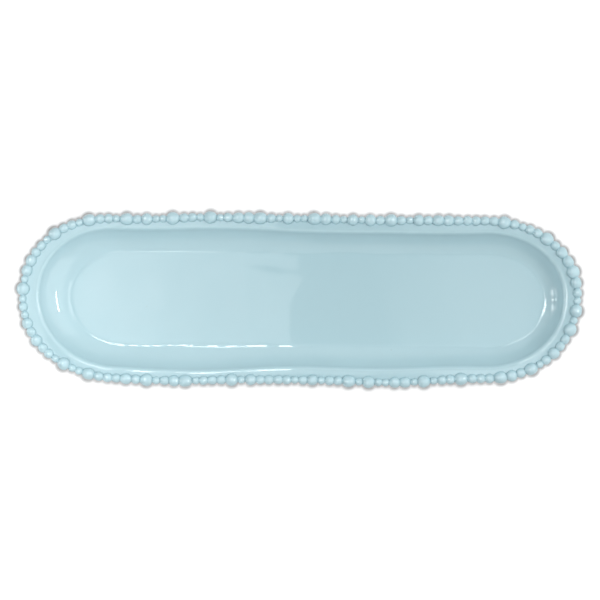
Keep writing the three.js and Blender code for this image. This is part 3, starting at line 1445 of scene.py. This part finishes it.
@dataclass(frozen=True)
class TableTop:
    """White table top with a painted shadow, the narrow one that light from straight above would leave along
    the plate's edge.

    Attributes:
        size: Its width.
        tone: How much light it gives back.
        roughness: Its roughness.
        lift: Light that is added to it where it is looked at, to make it white.
        below: How far it lies under the foot.
        cell: Fineness of its mesh around the plate.
        margin: How far that fine mesh goes past the plate.
        light_height: Height of the light from which the painted shadow is projected.
        reach: How far the shadow goes past the edge.
        hardness: How suddenly it ends.
        depth: How much of the added light it takes away.
        depth_ends: How much more it takes away past the ends, where the table is lit more.
        depth_far: How much more it takes away past the far side, and less past the near one.
    """

    size: float = 8.0
    tone: float = 0.35
    roughness: float = 0.9
    lift: float = 0.92
    below: float = 0.1 * MM
    cell: float = 1.5 * MM
    margin: float = 14 * MM
    light_height: float = 3.0
    reach: float = 2.2 * MM
    hardness: float = 1.3
    depth: float = 0.79
    depth_ends: float = 0.19
    depth_far: float = 0.03

    def lines(self, low: float, high: float) -> np.ndarray:
        """Spaces mesh lines, fine near the plate and then straight out to the edge of the table.

        Args:
            low: Where the plate begins.
            high: Where it ends.

        Returns:
            The places of the lines.
        """
        count = round((high - low + 2 * self.margin) / self.cell)
        fine = np.linspace(low - self.margin, high + self.margin, count)
        return np.concatenate([[-self.size / 2], fine, [self.size / 2]])

    def shadow(self, points: np.ndarray, row: BeadRow) -> np.ndarray:
        """Finds how dark the painted shadow is, which goes from under the plate to a little past its beads.

        Args:
            points: Points of the table top.
            row: The beads.

        Returns:
            The darkness at each point, from 0 to 1.
        """
        spread = self.light_height / (self.light_height - row.rim_top)
        nearest = np.full(len(points), np.inf)
        for bead in row.beads:
            centre = row.centre(bead) * spread
            away = np.hypot(points[:, 0] - centre[0], points[:, 1] - centre[1]) - bead.radius * spread
            nearest = np.minimum(nearest, away)
        ends = np.maximum(np.abs(points[:, 0]) - row.plan.straight_half, 0) / row.plan.end_length
        covered = np.hypot(ends, points[:, 1] / row.plan.rim_half) < 1
        nearest = np.where(covered, 0.0, nearest)
        across = np.clip(points[:, 1] / row.plan.rim_half, -1, 1)
        depth = self.depth + self.depth_ends * np.minimum(ends, 1) + self.depth_far * across
        return depth * np.exp(-((np.maximum(nearest, 0) / self.reach) ** self.hardness))

    def build(self, row: BeadRow) -> None:
        """Lays the table top.

        Args:
            row: The beads that the painted shadow follows.
        """
        low, high = CAD_BOX
        x, y = self.lines(low[0], high[0]), self.lines(low[1], high[1])
        grid_x, grid_y = np.meshgrid(x, y)
        points = np.column_stack([grid_x.ravel(), grid_y.ravel(), np.full(grid_x.size, -self.below)])
        across = len(x)
        faces = [
            (first, first + 1, first + across + 1, first + across)
            for line in range(len(y) - 1)
            for first in range(line * across, line * across + across - 1)
        ]
        table = new_piece("table_top", points, faces)
        set_mark(table, Mark.SHADOW, self.shadow(points, row))
        table.data.materials.append(self.material())

    def material(self) -> bpy.types.Material:
        """Builds the white of the table, which carries the painted shadow.

        Returns:
            The material.
        """
        paper = bpy.data.materials.new("white_table")
        paper.use_nodes = True
        board = NodeBoard(paper.node_tree)
        # Painted shadow: the white that is added to the table is taken away where the mask is dark.
        clear = board.math("MULTIPLY", board.math("SUBTRACT", 1.0, board.mark(Mark.SHADOW)), self.lift)
        finish = {
            "Base Color": (self.tone, self.tone, self.tone, 1.0),
            "Roughness": self.roughness,
            "Specular IOR Level": 0.0,
            "Emission Color": WHITE,
            "Emission Strength": board.math("MULTIPLY", board.seen(), clear),
        }
        board.fill(paper.node_tree.nodes["Principled BSDF"], finish)
        return paper


# What the lights face.
MIDDLE = (0.0, 0.0, 0.0)
RIGHT_WALL = (0.23, 0.0, 0.02)
# Place along the plate and width of each pane that shows as a dash in the near crease.
PANES = ((-0.233, 0.022), (-0.185, 0.026), (-0.138, 0.017), (-0.059, 0.076))


@dataclass(frozen=True)
class Studio:
    """White table top, soft sky and the lights over the plate.

    Attributes:
        sky: Brightness of the sky that lights the plate.
        sky_right: How much brighter the sky is towards the right end, and darker towards the left.
        sky_far: How much brighter it is towards the far side, and darker towards the near one.
        sky_ends: How much brighter it is past both ends.
        sky_corner: How much brighter it is past the far right and near left corners than past the others.
        table: The table top.
        lamps: The lights.
    """

    sky: float = 0.515
    sky_right: float = 0.36
    sky_far: float = 0.25
    sky_ends: float = 0.34
    sky_corner: float = 0.6
    table: TableTop = TableTop()
    lamps: tuple[Lamp, ...] = (
        overhead(
            "panel_left", (-0.25, -0.167, 1.4), 0.41, 0.48, 5.2,
            turn=math.radians(-10.5), fade=0.25, fade_power=2.0, mottle=0.25,
        ),
        overhead("panel_right", (0.29, 0.0, 1.4), 0.36, 0.5, 0.19, fade=8.0, fade_power=3.0, mottle=0.1),
        Lamp("panel_east", (1.3, 0.0, 0.75), (-0.2, 0.0, 0.0), 3.0, 1.6, 1.1, LampUse.MIRRORED),
        overhead("strip_east", (0.48, 0.05, 1.39), 0.14, 0.7, 2.2),
        overhead("strip_west", (-0.52, 0.12, 1.39), 0.2, 0.6, 16.0),
        overhead("strip_west_far", (-0.1, 0.82, 1.39), 0.16, 0.24, 12.0),
        overhead("strip_west_near", (-0.17, -0.6, 1.39), 0.16, 0.2, 8.0),
        *[
            overhead(f"pane_{number}", (place, 0.49, 1.4), width, 0.42, 15.0)
            for number, (place, width) in enumerate(PANES, 1)
        ],
        overhead("strip_near", (-0.16, -0.28, 1.4), 0.22, 0.32, 6.0),
        overhead("panel_far", (0.0, 0.23, 1.41), 0.7, 0.2, 1.5),
        Lamp("window_east", (0.75, 0.11, 0.80), MIDDLE, 0.4, 0.2, 15.0, LampUse.LIGHTING),
        Lamp("glint_east", (0.5, 0.08, 0.55), MIDDLE, 0.28, 0.036, 40.0, LampUse.MIRRORED),
        Lamp("window_west", (-0.6, 0.13, 0.85), MIDDLE, 0.25, 0.05, 56.0),
        Lamp("low_pane_near", (-0.8, -0.15, 0.17), RIGHT_WALL, 0.14, 0.2, 6.5, LampUse.MIRRORED),
        Lamp("low_bar", (-0.8, 0.0, 0.16), RIGHT_WALL, 0.05, 0.2, 12.0, LampUse.MIRRORED),
        Lamp("low_pane_far", (-0.8, 0.16, 0.16), RIGHT_WALL, 0.14, 0.2, 6.5, LampUse.MIRRORED),
        Lamp("glow_near", (-0.36, -0.16, 0.36), (-0.23, -0.06, 0.04), 0.2, 0.2, 5.4, LampUse.LIGHTING),
        Lamp("glow_right", (0.25, -0.3, 0.4), (0.2, -0.06, 0.04), 0.2, 0.2, 1.5, LampUse.LIGHTING),
    )

    def build_sky(self) -> None:
        """Sets a soft sky that looks white and lights the plate."""
        world = bpy.data.worlds.new("sky")
        world.use_nodes = True
        board = NodeBoard(world.node_tree)
        way = board.add("ShaderNodeTexCoord").outputs["Generated"]
        axes = board.add("ShaderNodeSeparateXYZ", {"Vector": way}).outputs
        right, far = axes["X"], axes["Y"]
        ends, corner = board.math("MULTIPLY", right, right), board.math("MULTIPLY", right, far)
        light = self.sky
        slopes = (right, far, ends, corner)
        shares = (self.sky_right, self.sky_far, self.sky_ends, self.sky_corner)
        for slope, share in zip(slopes, shares):
            light = board.math("ADD", board.math("MULTIPLY", slope, share), light)
        seen = board.seen()
        hidden = board.math("MULTIPLY", light, board.math("SUBTRACT", 1.0, seen))
        glow = {"Color": WHITE, "Strength": board.math("ADD", seen, hidden)}
        board.fill(world.node_tree.nodes["Background"], glow)
        bpy.context.scene.world = world

    def build(self, row: BeadRow) -> None:
        """Builds the table top, the sky and the lights.

        Args:
            row: The beads, which the painted shadow on the table follows.
        """
        self.table.build(row)
        self.build_sky()
        for lamp in self.lamps:
            lamp.build()
        bpy.context.scene.view_settings.view_transform = "Standard"


def main() -> None:
    """Builds the plate, dresses it and lights it."""
    logging.basicConfig(level=logging.INFO, format="%(message)s")
    plan = OvalPlan()
    groups = GlazeGroups()
    dish = Dish(plan)
    dish.dress(dish.build(), DISH_GLAZE.material(groups))
    foot = FootRing(dish)
    foot.dress(foot.build(), FOOT_GLAZE.material(groups))
    bead_glaze = BEAD_GLAZE.material(groups)
    row = BeadRow(plan, dish.rim_top)
    for strip in row.build():
        row.dress(strip, bead_glaze)
    Studio().build(row)
    Viewpoint().build(dish.rim_top)


if __name__ == "__main__":
    main()
